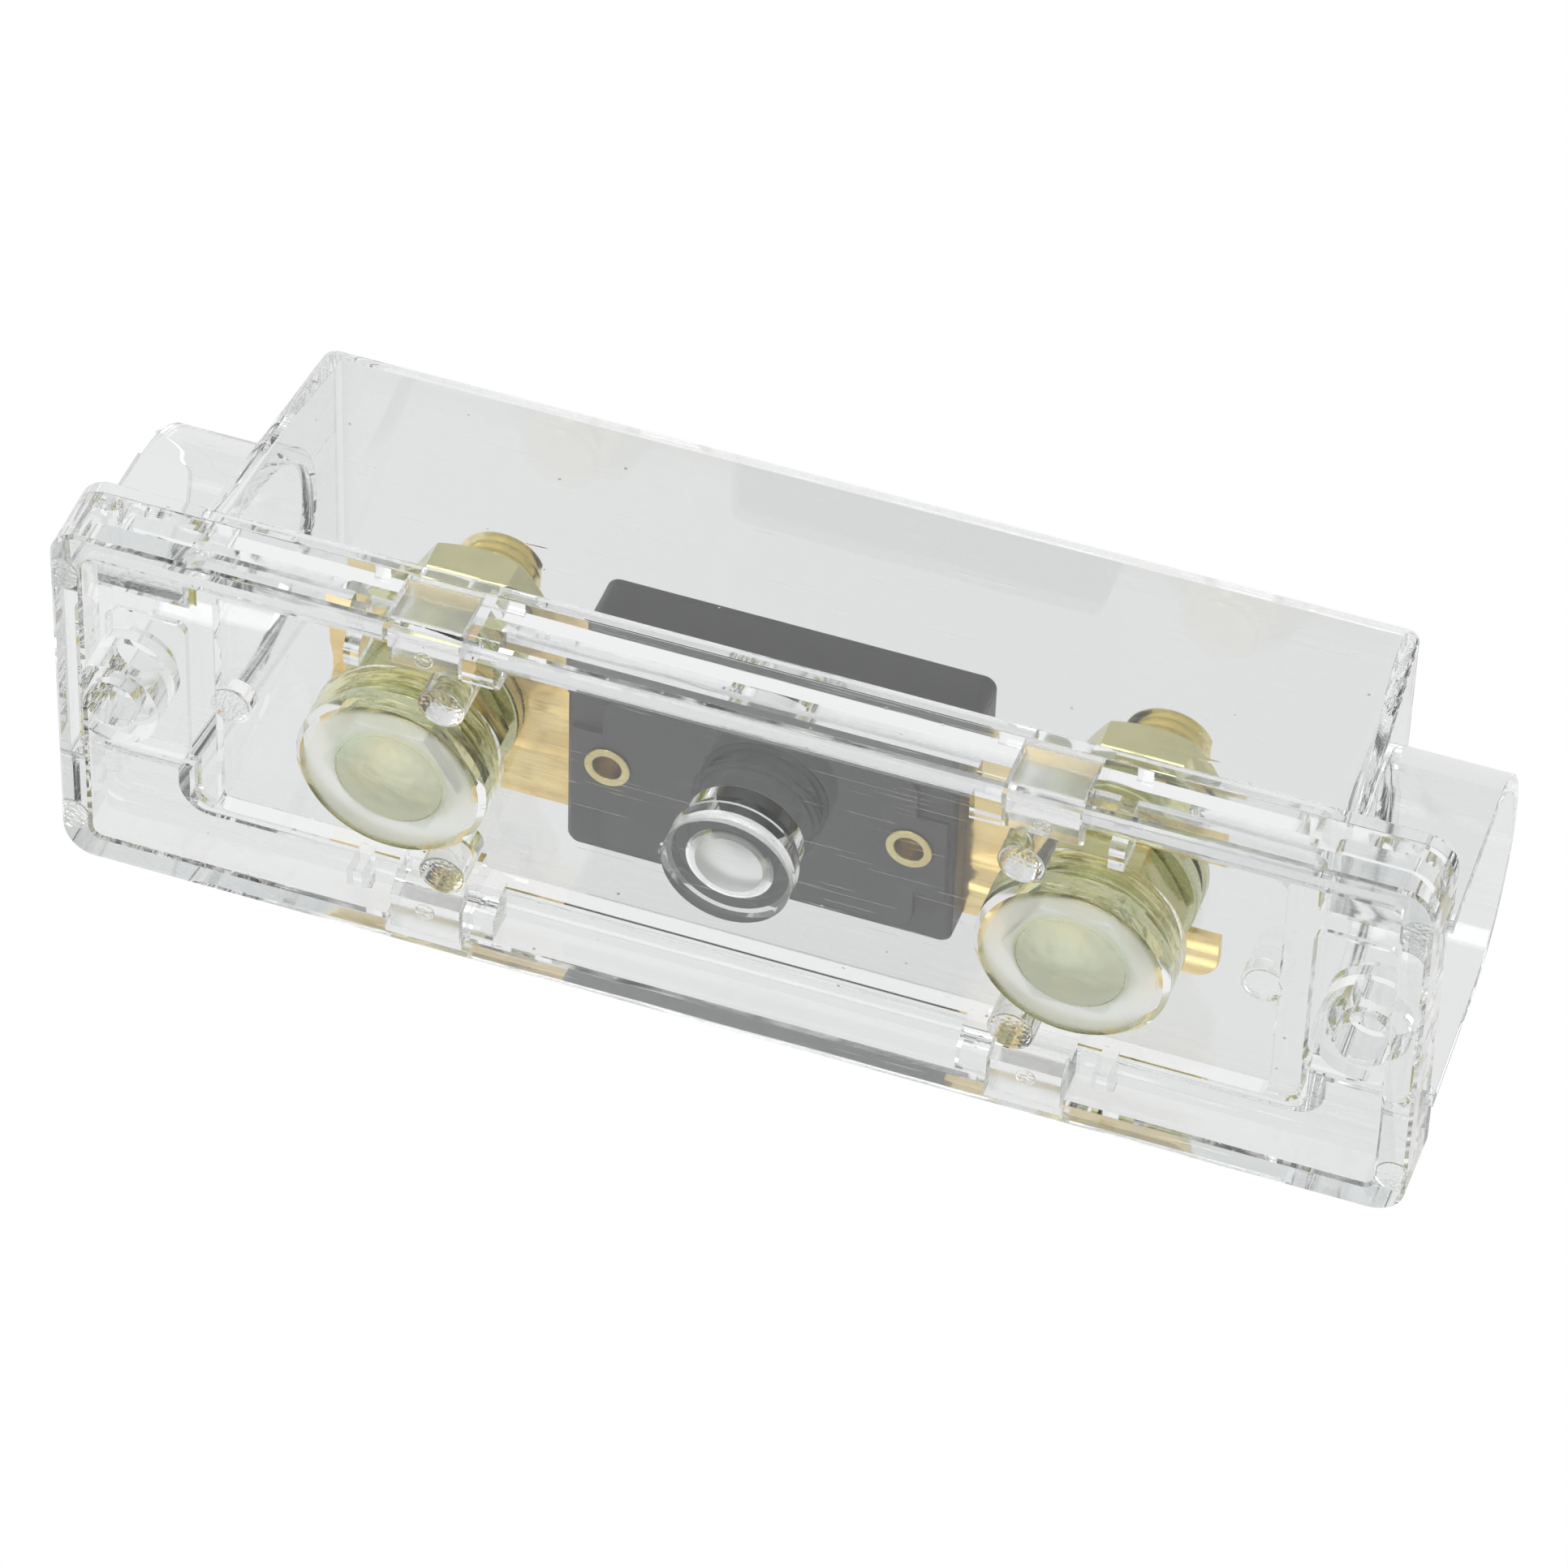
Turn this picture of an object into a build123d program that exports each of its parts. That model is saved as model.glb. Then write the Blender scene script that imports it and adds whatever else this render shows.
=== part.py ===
"""Clear fuse holder: moulded base, lift-off cover, two studs and a bolted strip fuse.

Millimetres. +X runs along the holder, +Z points up through the cover, and the
origin is at the middle of the base's underside.
"""
import os
from math import radians, tan

from build123d import *

# Base moulding
base_length = 122.0
base_width = 38.6
base_height = 5.8
base_corner_radius = 3.0
skirt_wall = 2.8
skirt_inner_radius = 1.0
deck_thickness = 2.2
floor_rise = 1.8
floor_thickness = 2.4
floor_corner_radius = 1.8
floor_edge_break = 0.35
pocket_wall = 2.6
pocket_side_wall = 1.4
pocket_corner_radius = 1.0
end_pocket_length = 7.4
rim_chamfer = 0.3

# Stud bosses, centre peg and pin marks under the base
stud_spacing = 61.0
boss_diameter = 17.4
boss_lift = 0.4
boss_rim_break = 0.55
peg_diameter = 11.6
peg_lift = 0.2
peg_neck_diameter = 10.6
peg_neck_height = 2.4
peg_face_thickness = 1.8
peg_core_wall = 1.85
peg_core_end_height = 0.5
peg_core_end_inset = 0.9
peg_nub_size = 0.7
pin_mark_diameter = 3.9
pin_mark_inset = 4.0
pin_mark_lift = 3.8
clip_pin_diameter = 4.2
clip_pin_lift = 0.5
clip_pin_gap = 0.5
clip_pin_inset = 1.6

# Screw bosses at the two ends
screw_inset = 5.0
screw_hole_diameter = 5.0
screw_head_diameter = 7.4
screw_head_depth = 3.2
screw_boss_diameter = 8.8
screw_boss_lift = 0.3

# Snap tongues of the cover and what guides them in the base
clip_spacing = 54.6
tongue_width = 6.4
tongue_thickness = 3.4
tongue_side_inset = 1.3
tongue_lift = 0.4
hook_reach = 1.9
hook_height = 2.6
hook_bevel = 1.4
clip_clearance = 0.3
guide_post_width = 2.8
guide_rib_width = 1.4
guide_rib_gap = 2.3
guide_lift = 0.4
guide_post_hollow = 1.5

# Cover moulding
overall_height = 36.4
flange_thickness = 1.7
flange_edge_break = 0.35
cover_wall = 1.5
cover_roof = 1.6
cover_draft = 5.0
cover_margin_end = 8.7
cover_margin_side = 3.1
cover_roof_corner_radius = 0.5
cover_top_radius = 2.2
floor_clearance = 0.35

# Wire tunnels at both ends of the cover
tunnel_width = 22.6
tunnel_spring_height = 19.3
tunnel_overhang = 0.4
tunnel_end_lean = 1.8
tunnel_step = 0.9

# Studs, nuts and washers
stud_diameter = 8.0
stud_top = 27.9
stud_chamfer = 0.8
head_across_flats = 10.6
head_height = 2.6
head_skin = 0.6
thread_clearance = 0.05
nut_across_flats = 13.0
lower_nut_height = 4.0
top_nut_height = 5.2
nut_chamfer_angle = 30.0
nut_face_share = 0.95
nut_bevel_height = 1.6
nut_bevel_inset = 0.8
washer_diameter = 16.0
washer_bore = 8.4
washer_thickness = 1.5
spring_washer_diameter = 14.2
spring_washer_height = 2.0
spring_washer_slit = 1.0
spring_washer_slit_angle = 25.0

# Strip of the fuse
strip_length = 80.8
strip_side_margin = 1.35
strip_thickness = 0.8
strip_slot_width = 9.4
strip_hole_length = 12.0
strip_end_radius = 2.4
strip_link_width = 5.0
strip_link_length = 12.0
strip_end_dip = 0.3
strip_end_dip_length = 5.0

# Two-piece insulating case of the fuse
case_length = 35.0
case_side_gap = 2.45
case_drop = 3.4
case_height = 9.4
case_wall = 1.5
case_side_wall = 1.0
case_lid = 1.0
case_corner_radius = 1.2
case_edge_break = 0.4
case_floor = 1.6
panel_relief = 0.5
panel_arm_length = 3.4
panel_arm_margin = 6.65
panel_centre_margin = 2.4
panel_shift = 0.8
panel_corner_radius = 1.5
strip_play = 0.03
case_play = 0.1

# Hollow rivets that close the case
rivet_inset = 3.9
rivet_diameter = 3.2
rivet_bore = 2.6
rivet_flange_diameter = 4.2
rivet_flange_thickness = 0.3
rivet_strip_play = 0.2

# Levels worked out from the sizes above
deck_under = base_height - deck_thickness
floor_top = base_height + floor_rise
floor_under = floor_top - floor_thickness
lower_nut_top = floor_top + lower_nut_height
strip_under = lower_nut_top + washer_thickness
strip_top = strip_under + strip_thickness
spring_under = strip_top + washer_thickness
top_nut_under = spring_under + spring_washer_height
case_under = strip_under - case_drop
case_top = case_under + case_height
lid_under = case_top - case_lid
head_under = boss_lift + head_skin
head_top = head_under + head_height
overlap = 1.0

# Plan sizes worked out from the sizes above
draft_slope = tan(radians(cover_draft))
cover_rise = overall_height - base_height
cover_corner_radius = cover_roof_corner_radius + cover_rise * draft_slope
cover_length = base_length - 2 * cover_margin_end
cover_width = base_width - 2 * cover_margin_side
room_length = cover_length - 2 * cover_wall
room_width = cover_width - 2 * cover_wall
room_corner_radius = cover_corner_radius - cover_wall
floor_shrink = 2 * (floor_clearance + floor_rise * draft_slope)
floor_length = room_length - floor_shrink
floor_width = room_width - floor_shrink
tunnel_bore_width = tunnel_width - 2 * cover_wall
arm_width = tunnel_bore_width - 2 * floor_clearance
arm_length = base_length - 2 * tunnel_step
pocket_length = floor_length - 2 * pocket_wall
pocket_width = floor_width - 2 * pocket_side_wall
end_pocket_width = arm_width - 2 * pocket_side_wall
end_pocket_inner = floor_length / 2
tongue_outer = base_width / 2 - tongue_side_inset
tongue_inner = tongue_outer - tongue_thickness
hook_inner = tongue_inner - hook_reach
clip_pin_outward = hook_inner - clip_pin_gap - clip_pin_diameter / 2
screw_spacing = base_length - 2 * screw_inset
pin_mark_spacing = floor_length - 2 * pin_mark_inset
room_width_at_case = room_width - 2 * (case_top - base_height) * draft_slope
case_width = room_width_at_case - 2 * case_side_gap
strip_width = case_width - 2 * strip_side_margin
panel_arm_width = case_width - 2 * panel_arm_margin
panel_centre_width = case_width - 2 * panel_centre_margin
rivet_spacing = case_length - 2 * rivet_inset
sides = (-1, 1)


def rounded_block(length, width, height, radius, bottom):
    """Upright block with rounded corners, standing on the level called bottom."""
    outline = RectangleRounded(length, width, radius)
    return Pos(0, 0, bottom) * extrude(outline, height)


def disc(diameter, height, bottom):
    """Upright cylinder standing on the level called bottom."""
    return Pos(0, 0, bottom) * extrude(Circle(diameter / 2), height)


def drafted_block(length, width, radius, bottom, top):
    """Block whose four walls lean inwards by the cover's draft."""
    outline = RectangleRounded(length, width, radius)
    return Pos(0, 0, bottom) * extrude(outline, top - bottom, taper=cover_draft)


def tunnel_bar(width, length):
    """Bar with straight legs and a round crown, running along X."""
    leg_height = tunnel_spring_height - base_height
    legs = Pos(0, base_height + leg_height / 2) * Rectangle(width, leg_height)
    crown = Pos(0, tunnel_spring_height) * Circle(width / 2)
    profile = Plane.YZ * (legs + crown)
    return extrude(profile, length / 2, both=True)


def make_clip_slot(x_side, y_side):
    """Opening in the base that one snap tongue passes through."""
    slot_width = tongue_width + 2 * clip_clearance
    slot_depth = tongue_outer - hook_inner + 2 * clip_clearance
    slot_height = floor_top + 2 * overlap
    centre_y = (tongue_outer + hook_inner) / 2
    place = Pos(x_side * clip_spacing / 2, y_side * centre_y, floor_top / 2)
    return place * Box(slot_width, slot_depth, slot_height)


def make_clip_guides(x_side, y_side):
    """Hollowed post, rib and pin beside one snap tongue, under the deck."""
    slot_edge = tongue_width / 2 + clip_clearance
    centre_x = clip_spacing / 2
    inner_y = pocket_width / 2 - clip_clearance
    outer_y = base_width / 2 - skirt_wall + clip_clearance
    guide_height = deck_under - guide_lift + clip_clearance
    guide_depth = outer_y - inner_y
    middle_y = (inner_y + outer_y) / 2
    middle_z = guide_lift + guide_height / 2
    post_x = centre_x - slot_edge - guide_post_width / 2
    post = Pos(post_x, middle_y, middle_z) * Box(guide_post_width, guide_depth, guide_height)
    scoop = Pos(post_x, inner_y, guide_lift) * Cylinder(guide_post_hollow, guide_post_width, rotation=(0, 90, 0))
    rib_x = centre_x + slot_edge + guide_rib_gap + guide_rib_width / 2
    rib = Pos(rib_x, middle_y, middle_z) * Box(guide_rib_width, guide_depth, guide_height)
    lean = Pos(rib_x, outer_y, guide_lift) * Box(guide_rib_width, guide_height, guide_height, rotation=(45, 0, 0))
    pin = Pos(centre_x - clip_pin_inset, clip_pin_outward) * disc(
        clip_pin_diameter, floor_under - clip_pin_lift + clip_clearance, clip_pin_lift
    )
    guides = [post - scoop, rib - lean, pin]
    placed = []
    for guide in guides:
        if x_side < 0:
            guide = mirror(guide, about=Plane.YZ)
        if y_side < 0:
            guide = mirror(guide, about=Plane.XZ)
        placed.append(guide)
    return placed


def make_peg():
    """Round peg on a slimmer neck, under the middle of the floor."""
    neck_bottom = floor_under - peg_neck_height
    head = disc(peg_diameter, neck_bottom - peg_lift, peg_lift)
    neck = disc(peg_neck_diameter, peg_neck_height + clip_clearance, neck_bottom)
    nub = Pos(-peg_diameter / 2, 0, peg_lift + peg_nub_size) * Box(peg_nub_size, peg_nub_size, peg_nub_size)
    return head + neck + nub


def make_peg_core():
    """Blind hole that cores the peg from above, with a tapered end."""
    core_radius = peg_diameter / 2 - peg_core_wall
    core_bottom = peg_lift + peg_face_thickness
    end_top = core_bottom + peg_core_end_height
    end = Cone(core_radius - peg_core_end_inset, core_radius, peg_core_end_height)
    end = Pos(0, 0, core_bottom + peg_core_end_height / 2) * end
    return end + disc(2 * core_radius, floor_top - end_top, end_top)


def make_base():
    """Moulded base: skirt, deck, raised floor, bosses, peg and clip slots."""
    body = rounded_block(base_length, base_width, base_height, base_corner_radius, 0)
    hollow_length = base_length - 2 * skirt_wall
    hollow_width = base_width - 2 * skirt_wall
    body -= rounded_block(hollow_length, hollow_width, deck_under, skirt_inner_radius, 0)
    body = chamfer(body.faces().sort_by(Axis.Z)[0].edges(), rim_chamfer)
    floor = rounded_block(floor_length, floor_width, floor_rise, floor_corner_radius, base_height)
    floor += rounded_block(arm_length, arm_width, floor_rise, floor_corner_radius, base_height)
    floor = chamfer(floor.edges().group_by(Axis.Z)[-1], floor_edge_break)
    body += floor
    pocket_depth = floor_under - deck_under
    body -= rounded_block(pocket_length, pocket_width, pocket_depth, pocket_corner_radius, deck_under)
    end_pocket = rounded_block(
        end_pocket_length, end_pocket_width, pocket_depth, pocket_corner_radius, deck_under
    )
    for side in sides:
        body -= Pos(side * (end_pocket_inner + end_pocket_length / 2)) * end_pocket
    boss = disc(boss_diameter, floor_under - boss_lift + clip_clearance, boss_lift)
    boss = chamfer(boss.edges().group_by(Axis.Z)[0], boss_rim_break)
    screw_boss = disc(screw_boss_diameter, floor_under - screw_boss_lift + clip_clearance, screw_boss_lift)
    pin_mark = disc(pin_mark_diameter, floor_under - pin_mark_lift + clip_clearance, pin_mark_lift)
    for side in sides:
        body += Pos(side * stud_spacing / 2) * boss
        body += Pos(side * screw_spacing / 2) * screw_boss
        body += Pos(side * pin_mark_spacing / 2) * pin_mark
    body = body + make_peg() - make_peg_core()
    for x_side in sides:
        for y_side in sides:
            body -= make_clip_slot(x_side, y_side)
            for guide in make_clip_guides(x_side, y_side):
                body += guide
    head_room = RegularPolygon(head_across_flats / 2 + thread_clearance, 6, major_radius=False)
    head_cavity = Pos(0, 0, head_under) * extrude(head_room, head_height)
    shank_hole = disc(stud_diameter + 2 * thread_clearance, floor_top - head_top, head_top)
    screw_hole = disc(screw_hole_diameter, floor_top, 0)
    head_seat = disc(screw_head_diameter, screw_head_depth, floor_top - screw_head_depth)
    for side in sides:
        body -= Pos(side * stud_spacing / 2) * (head_cavity + shank_hole)
        body -= Pos(side * screw_spacing / 2) * (screw_hole + head_seat)
    return body


def make_tongue(x_side, y_side):
    """Snap tongue that hangs from the flange, with a bevelled foot."""
    hook_top = tongue_lift + hook_height
    outline = Polyline(
        (tongue_inner, base_height),
        (tongue_outer, base_height),
        (tongue_outer, tongue_lift),
        (hook_inner + hook_bevel, tongue_lift),
        (hook_inner, tongue_lift + hook_bevel),
        (hook_inner, hook_top - hook_bevel / 2),
        (tongue_inner, hook_top),
        close=True,
    )
    profile = Plane.YZ * make_face(outline)
    tongue = Pos(clip_spacing / 2) * extrude(profile, tongue_width / 2, both=True)
    if x_side < 0:
        tongue = mirror(tongue, about=Plane.YZ)
    if y_side < 0:
        tongue = mirror(tongue, about=Plane.XZ)
    return tongue


def make_cover():
    """Moulded cover: drafted box, flange, two arched wire tunnels and four tongues."""
    shell = drafted_block(cover_length, cover_width, cover_corner_radius, base_height, overall_height)
    shell = fillet(shell.edges().group_by(Axis.Z)[-1], cover_top_radius)
    tunnel_length = base_length + 2 * tunnel_overhang
    tunnel = tunnel_bar(tunnel_width, tunnel_length + 2 * overlap)
    trim_outline = Rectangle(tunnel_length, base_width)
    trim_height = overall_height - base_height
    trim = Pos(0, 0, base_height) * extrude(trim_outline, trim_height, taper=tunnel_end_lean)
    flange = rounded_block(base_length, base_width, flange_thickness, base_corner_radius, base_height)
    flange = chamfer(flange.edges().group_by(Axis.Z)[-1], flange_edge_break)
    shell += tunnel & trim
    shell += flange
    room = drafted_block(
        room_length, room_width, room_corner_radius, base_height, overall_height - cover_roof
    )
    bore = tunnel_bar(tunnel_bore_width, tunnel_length + 2 * overlap)
    shell -= room
    shell -= bore
    for x_side in sides:
        for y_side in sides:
            shell += make_tongue(x_side, y_side)
    return shell


def chamfered_hexagon(across_flats, height, bottom, chamfer_top, chamfer_bottom):
    """Hexagon block whose corners are turned back to a cone at one or both ends."""
    flat = across_flats / 2
    corner = flat / tan(radians(60)) * 2
    face_radius = nut_face_share * flat
    drop = (corner - face_radius) * tan(radians(nut_chamfer_angle))
    hexagon = Pos(0, 0, bottom) * extrude(RegularPolygon(flat, 6, major_radius=False), height)
    top = bottom + height
    top_radius = face_radius if chamfer_top else corner
    top_start = top - drop if chamfer_top else top
    bottom_radius = face_radius if chamfer_bottom else corner
    bottom_start = bottom + drop if chamfer_bottom else bottom
    points = [(0, bottom), (bottom_radius, bottom)]
    if chamfer_bottom:
        points.append((corner, bottom_start))
    points.append((corner, top_start))
    if chamfer_top:
        points.append((top_radius, top))
    points.append((0, top))
    profile = Plane.XZ * make_face(Polyline(*points, close=True))
    return hexagon & revolve(profile, Axis.Z)


def make_stud():
    """Hexagon-headed stud; its head is moulded into the base."""
    head = chamfered_hexagon(head_across_flats, head_height, head_under, False, True)
    shank = disc(stud_diameter, stud_top - head_under, head_under)
    shank = chamfer(shank.edges().group_by(Axis.Z)[-1], stud_chamfer)
    return head + shank


def make_lower_nut():
    """Thin nut that clamps the stud to the floor."""
    nut = chamfered_hexagon(nut_across_flats, lower_nut_height, floor_top, True, False)
    return nut - disc(stud_diameter + 2 * thread_clearance, lower_nut_height, floor_top)


def make_top_nut():
    """Clamping nut with a bevelled underside."""
    nut = chamfered_hexagon(nut_across_flats, top_nut_height, top_nut_under, True, False)
    foot_flat = nut_across_flats / 2 - nut_bevel_inset
    foot_outline = RegularPolygon(foot_flat, 6, major_radius=False)
    full_outline = RegularPolygon(nut_across_flats / 2, 6, major_radius=False)
    bevel_top = top_nut_under + nut_bevel_height
    foot = loft([Pos(0, 0, top_nut_under) * foot_outline, Pos(0, 0, bevel_top) * full_outline], ruled=True)
    body_height = top_nut_height - nut_bevel_height
    body = nut & disc(washer_diameter, body_height, bevel_top)
    hole = disc(stud_diameter + 2 * thread_clearance, top_nut_height, top_nut_under)
    return foot + body - hole


def make_flat_washer(bottom):
    """Flat stamped washer."""
    washer = disc(washer_diameter, washer_thickness, bottom)
    return washer - disc(washer_bore, washer_thickness, bottom)


def make_spring_washer():
    """Split spring washer, drawn pressed flat under the nut."""
    ring = disc(spring_washer_diameter, spring_washer_height, spring_under)
    ring -= disc(washer_bore, spring_washer_height, spring_under)
    slit_height = spring_washer_height + 2 * overlap
    slit_middle = spring_under + spring_washer_height / 2
    slit = Box(spring_washer_diameter, spring_washer_slit, 2 * slit_height)
    slit = Rot(spring_washer_slit_angle, 0, 0) * slit
    return ring - Pos(spring_washer_diameter / 2, 0, slit_middle) * slit


def make_strip():
    """Fuse strip: a closed oblong at one end, an open fork at the other."""
    plate = Rectangle(strip_length, strip_width)
    plate = fillet(plate.vertices(), strip_end_radius)
    stud_x = stud_spacing / 2
    left_hole = Pos(-stud_x) * SlotOverall(strip_hole_length, strip_slot_width)
    fork_length = strip_length / 2 - stud_x + strip_slot_width / 2
    fork = Pos(stud_x - strip_slot_width / 2 + fork_length) * SlotOverall(2 * fork_length, strip_slot_width)
    dip_radius = (strip_end_dip_length ** 2 / 4 + strip_end_dip ** 2) / (2 * strip_end_dip)
    dip = Pos(-strip_length / 2 + strip_end_dip - dip_radius) * Circle(dip_radius)
    side_cut_width = (strip_width - strip_link_width) / 2
    side_cut = RectangleRounded(strip_link_length, 2 * side_cut_width, strip_end_radius)
    plate = plate - left_hole - fork - dip
    for side in sides:
        plate -= Pos(0, side * strip_width / 2) * side_cut
        plate -= Pos(side * rivet_spacing / 2) * Circle(rivet_diameter / 2 + rivet_strip_play)
    return Pos(0, 0, strip_under) * extrude(plate, strip_thickness)


def make_case_body():
    """Lower shell of the fuse case with a raised face panel and strip slots."""
    relief_top = case_under + panel_relief
    body = rounded_block(case_length, case_width, lid_under - relief_top, case_corner_radius, relief_top)
    body = chamfer(body.edges().group_by(Axis.Z)[0], case_edge_break)
    centre_panel = RectangleRounded(
        case_length - 2 * panel_arm_length, panel_centre_width, panel_corner_radius
    )
    arms = Rectangle(case_length - 3 * case_edge_break, panel_arm_width)
    panel_outline = Pos(0, panel_shift) * (centre_panel + arms)
    body += Pos(0, 0, case_under) * extrude(panel_outline, panel_relief + case_edge_break)
    cavity_length = case_length - 2 * case_wall
    cavity_width = case_width - 2 * case_side_wall
    cavity_floor = case_under + case_floor + panel_relief
    cavity_height = lid_under - strip_under + strip_play
    body -= rounded_block(
        cavity_length, cavity_width, lid_under - cavity_floor, case_corner_radius, cavity_floor
    )
    strip_slot = Rectangle(case_length + 2 * overlap, strip_width + 2 * case_play)
    body -= Pos(0, 0, strip_under - strip_play) * extrude(strip_slot, cavity_height)
    bore = disc(rivet_diameter + 2 * thread_clearance, case_height, case_under)
    for side in sides:
        body -= Pos(side * rivet_spacing / 2) * bore
    return body


def make_case_lid():
    """Lid of the fuse case, with an end tongue over the strip at each end."""
    lid = rounded_block(case_length, case_width, case_lid, case_corner_radius, lid_under)
    lid = chamfer(lid.edges().group_by(Axis.Z)[-1], case_edge_break)
    tongue_height = lid_under - strip_top - strip_play
    tongue_length = case_wall - case_play
    tongue_centre = case_length / 2 - tongue_length / 2
    tongue = Box(tongue_length, strip_width, tongue_height)
    bore = disc(rivet_diameter + 2 * thread_clearance, case_lid, lid_under)
    for side in sides:
        lid += Pos(side * tongue_centre, 0, lid_under - tongue_height / 2) * tongue
        lid -= Pos(side * rivet_spacing / 2) * bore
    return lid


def make_rivet():
    """Hollow rivet with a flat flange at both ends."""
    bottom = case_under - rivet_flange_thickness
    top = case_top + rivet_flange_thickness
    tube = disc(rivet_diameter, top - bottom, bottom)
    tube += disc(rivet_flange_diameter, rivet_flange_thickness, bottom)
    tube += disc(rivet_flange_diameter, rivet_flange_thickness, case_top)
    return tube - disc(rivet_bore, top - bottom, bottom)


def write_part(name, shape):
    """Write one sub-part under its own name."""
    shape.label = name
    export_step(shape, "parts/" + name + ".step")


def main():
    """Build every sub-part and write it."""
    os.makedirs("parts", exist_ok=True)
    write_part("base", make_base())
    write_part("cover", make_cover())
    write_part("fuse_strip", make_strip())
    write_part("fuse_case_body", make_case_body())
    write_part("fuse_case_lid", make_case_lid())
    paired_pieces = {
        "stud": (make_stud(), stud_spacing),
        "lower_nut": (make_lower_nut(), stud_spacing),
        "lower_washer": (make_flat_washer(lower_nut_top), stud_spacing),
        "upper_washer": (make_flat_washer(strip_top), stud_spacing),
        "spring_washer": (make_spring_washer(), stud_spacing),
        "top_nut": (make_top_nut(), stud_spacing),
        "fuse_rivet": (make_rivet(), rivet_spacing),
    }
    for name, (shape, spacing) in paired_pieces.items():
        write_part(name + "_left", Pos(-spacing / 2) * shape)
        write_part(name + "_right", Pos(spacing / 2) * shape)


main()
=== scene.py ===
"""Looks of the clear fuse holder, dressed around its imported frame. Metres, +Z up."""
import logging
import math
from dataclasses import dataclass
from enum import Enum

import bpy
from mathutils import Matrix, Vector


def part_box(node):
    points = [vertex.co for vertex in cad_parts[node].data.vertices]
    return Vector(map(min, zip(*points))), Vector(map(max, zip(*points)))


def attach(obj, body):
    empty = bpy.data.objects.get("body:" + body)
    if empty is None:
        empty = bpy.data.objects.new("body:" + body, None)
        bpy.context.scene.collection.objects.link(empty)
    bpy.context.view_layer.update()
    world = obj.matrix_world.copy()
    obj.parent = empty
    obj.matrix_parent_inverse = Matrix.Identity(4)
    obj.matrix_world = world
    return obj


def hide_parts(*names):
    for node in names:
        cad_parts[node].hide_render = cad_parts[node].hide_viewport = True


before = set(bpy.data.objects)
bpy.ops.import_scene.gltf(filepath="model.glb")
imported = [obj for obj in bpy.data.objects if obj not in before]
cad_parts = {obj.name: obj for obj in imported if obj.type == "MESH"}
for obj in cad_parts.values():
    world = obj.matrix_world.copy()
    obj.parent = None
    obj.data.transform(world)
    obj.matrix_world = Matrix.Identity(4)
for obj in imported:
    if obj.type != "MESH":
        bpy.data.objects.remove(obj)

LOG = logging.getLogger("fuse_holder")
MM = 0.001
PHOTO_PIXELS = 1932
# How far apart a CAD mesh's loose corners are welded, and how flat it is merged.
WELD_MM = 0.002
FLAT_DEGREES = 0.3
# Lets the large flat faces set the normals of the roundings beside them.
FLAT_FACE_WEIGHT = 100
# How far above the fuse case's underside its pale face reaches: painted light, a paler
# band that makes the underside face brighter than the sides.
PAINTED_LIGHT_BAND_MM = 0.3
SIDES = ("left", "right")


class MarkShape(Enum):
    """Outline of a frosted mark on a clear moulding."""

    ROUND = "round"
    SQUARE = "square"
    RING = "ring"


class Body(Enum):
    """CAD body that a piece rides on."""

    BASE = "base_body"
    COVER = "cover_body"


# ---------------------------------------------------------------- helpers


def linear(code: str) -> tuple[float, float, float, float]:
    """Linear colour of an sRGB hex value.

    Args:
        code: six hex digits after a hash sign.

    Returns:
        Red, green, blue and an alpha of one.
    """
    parts = [int(code[i : i + 2], 16) / 255 for i in (1, 3, 5)]
    red, green, blue = (
        p / 12.92 if p <= 0.04045 else ((p + 0.055) / 1.055) ** 2.4 for p in parts
    )
    return red, green, blue, 1.0


def add_node(
    tree: bpy.types.NodeTree,
    kind: str,
    values: dict | None = None,
    links: dict | None = None,
    **settings: object,
) -> bpy.types.Node:
    """Adds one node with its settings, socket values and links.

    Args:
        tree: node tree that takes the node.
        kind: Blender's name of the node type.
        values: input socket name or number and its value.
        links: input socket name or number and the output that feeds it.
        **settings: properties of the node.

    Returns:
        The new node.
    """
    node = tree.nodes.new(kind)
    for name, value in settings.items():
        setattr(node, name, value)
    for key, value in (values or {}).items():
        node.inputs[key].default_value = value
    for key, source in (links or {}).items():
        tree.links.new(source, node.inputs[key])
    return node


def span(
    start: float, end: float, low: float = 0.0, high: float = 1.0
) -> dict[int, float]:
    """Map Range values that run from low at start to high at end."""
    return {1: start, 2: end, 3: low, 4: high}


def per_mm(lengths: tuple[float, float, float]) -> tuple[float, ...]:
    """Pattern scales of three lengths given in millimetres."""
    return tuple(1 / (v * MM) for v in lengths)


def start_material(name: str) -> tuple[bpy.types.Material, bpy.types.NodeTree]:
    """Makes an empty node material.

    Args:
        name: name of the material.

    Returns:
        The material and its node tree.
    """
    material = bpy.data.materials.new(name)
    material.use_nodes = True
    material.node_tree.nodes.clear()
    return material, material.node_tree


def select_only(piece: bpy.types.Object) -> None:
    """Makes one object the only selected and active one.

    Args:
        piece: the object.
    """
    bpy.ops.object.select_all(action="DESELECT")
    piece.select_set(True)
    bpy.context.view_layer.objects.active = piece


def finish_modifiers(piece: bpy.types.Object) -> None:
    """Applies every modifier of a piece in order.

    Args:
        piece: the piece, in object mode.
    """
    select_only(piece)
    for modifier in list(piece.modifiers):
        bpy.ops.object.modifier_apply(modifier=modifier.name)


@dataclass(frozen=True)
class EdgeBreak:
    """Small rounding that the mould or the die leaves on an edge."""

    width_mm: float
    segments: int = 2
    from_angle: float = 28.0
    smooth_angle: float = 35.0


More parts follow.
